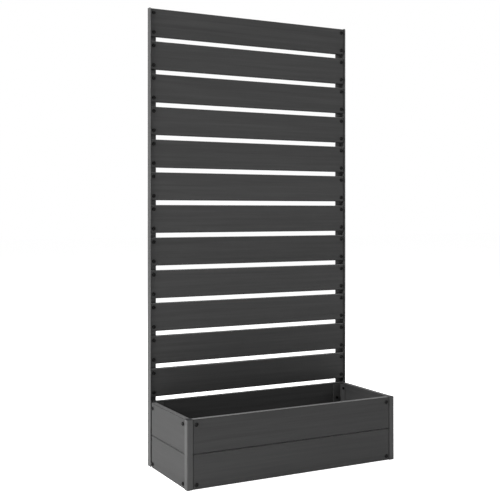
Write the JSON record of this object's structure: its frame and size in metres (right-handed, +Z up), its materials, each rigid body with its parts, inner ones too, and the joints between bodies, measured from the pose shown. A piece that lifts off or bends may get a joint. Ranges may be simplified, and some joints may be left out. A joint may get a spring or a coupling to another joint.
{
  "type": "raised garden bed",
  "caption": "Free-standing planting trough of hollow composite planks with a tall slatted screen of horizontal boards behind it, for climbing plants and privacy.",
  "frame": {"origin": "on the ground, under the middle of the bed", "axes": "+Z up; +Y from the open front of the trough to the screen; +X along the bed, to the right as seen from the front"},
  "size_m": [0.923, 0.392, 1.8028],
  "materials": {
    "screen_boards": "wood-plastic composite, charcoal, fine lengthwise grain",
    "trough_boards": "wood-plastic composite, charcoal, fine lengthwise grain",
    "base_boards": "wood-plastic composite, charcoal, fine lengthwise grain",
    "coated_posts": "powder coat, anthracite, fine matt texture",
    "coated_fittings": "powder coat, anthracite, fine matt texture",
    "black_fasteners": "black-coated steel, satin",
    "black_caps": "moulded plastic, fine matt texture"
  },
  "bodies": {
    "root": {"base_board_1": "base_boards", "base_board_2": "base_boards", "base_board_3": "base_boards", "base_board_4": "base_boards", "base_board_5": "base_boards", "base_board_6": "base_boards", "base_board_7": "base_boards", "base_rail_front": "coated_fittings", "base_rail_rear": "coated_fittings", "bracket_bolts": "black_fasteners", "bracket_nuts": "black_fasteners", "corner_bracket_left": "coated_fittings", "corner_bracket_right": "coated_fittings", "front_plank_bolts": "black_fasteners", "front_plank_lower": "trough_boards", "front_plank_nuts": "black_fasteners", "front_plank_upper": "trough_boards", "front_post_foot_left": "black_caps", "front_post_foot_right": "black_caps", "front_post_left": "coated_posts", "front_post_right": "coated_posts", "front_post_top_cap_left": "black_caps", "front_post_top_cap_right": "black_caps", "left_plank_bolts": "black_fasteners", "left_plank_lower": "trough_boards", "left_plank_nuts": "black_fasteners", "left_plank_upper": "trough_boards", "rail_screws": "black_fasteners", "rear_plank_bolts": "black_fasteners", "rear_plank_lower": "trough_boards", "rear_plank_nuts": "black_fasteners", "rear_plank_upper": "trough_boards", "rear_post_left": "coated_posts", "rear_post_right": "coated_posts", "right_plank_bolts": "black_fasteners", "right_plank_lower": "trough_boards", "right_plank_nuts": "black_fasteners", "right_plank_upper": "trough_boards", "screen_slat_01": "screen_boards", "screen_slat_02": "screen_boards", "screen_slat_03": "screen_boards", "screen_slat_04": "screen_boards", "screen_slat_05": "screen_boards", "screen_slat_06": "screen_boards", "screen_slat_07": "screen_boards", "screen_slat_08": "screen_boards", "screen_slat_09": "screen_boards", "screen_slat_10": "screen_boards", "screen_slat_11": "screen_boards", "screen_slat_12": "screen_boards", "slat_bolts": "black_fasteners", "slat_nuts": "black_fasteners"}
  },
  "joints": []
}
